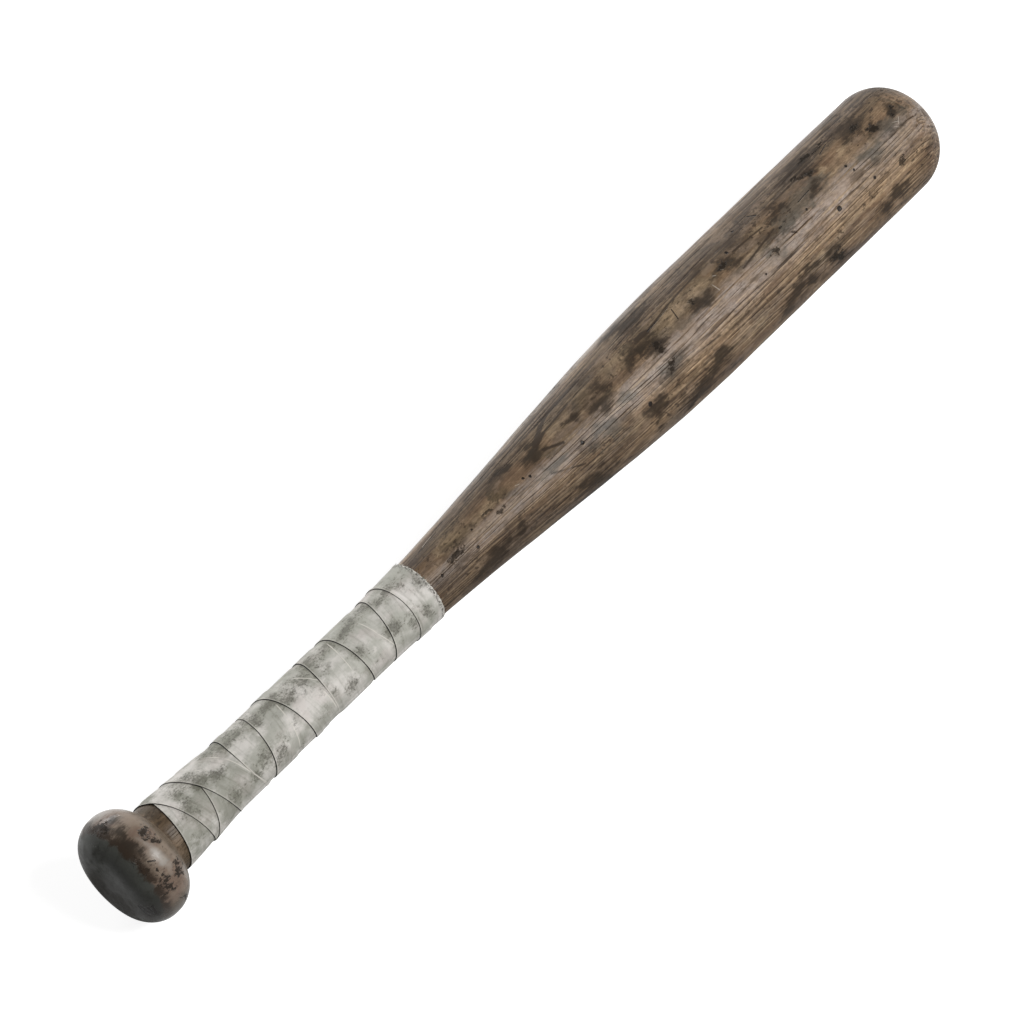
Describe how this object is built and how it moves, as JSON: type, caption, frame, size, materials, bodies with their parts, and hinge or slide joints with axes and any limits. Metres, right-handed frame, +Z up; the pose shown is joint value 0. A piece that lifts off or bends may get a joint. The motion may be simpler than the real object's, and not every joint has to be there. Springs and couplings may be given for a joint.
{
  "type": "wooden baseball bat",
  "caption": "Short turned wooden bat lying on its side, with a rounded knob, a slim handle wound in lapped cloth tape, a long taper and a round-ended barrel.",
  "frame": {"origin": "on the surface that the bat lies on, under the middle of its length", "axes": "+X from the knob towards the barrel's end, along the bat; +Z up, away from the surface; +Y completes the right-handed frame"},
  "size_m": [0.61, 0.0614, 0.0615],
  "materials": {
    "weathered_wood": "bare hardwood, greyed and stained, worn to a dull satin",
    "cloth_tape": "off-white cotton tape, matt and grubby"
  },
  "bodies": {
    "root": {"bat_body": "weathered_wood", "grip_tape": "cloth_tape"}
  },
  "joints": []
}
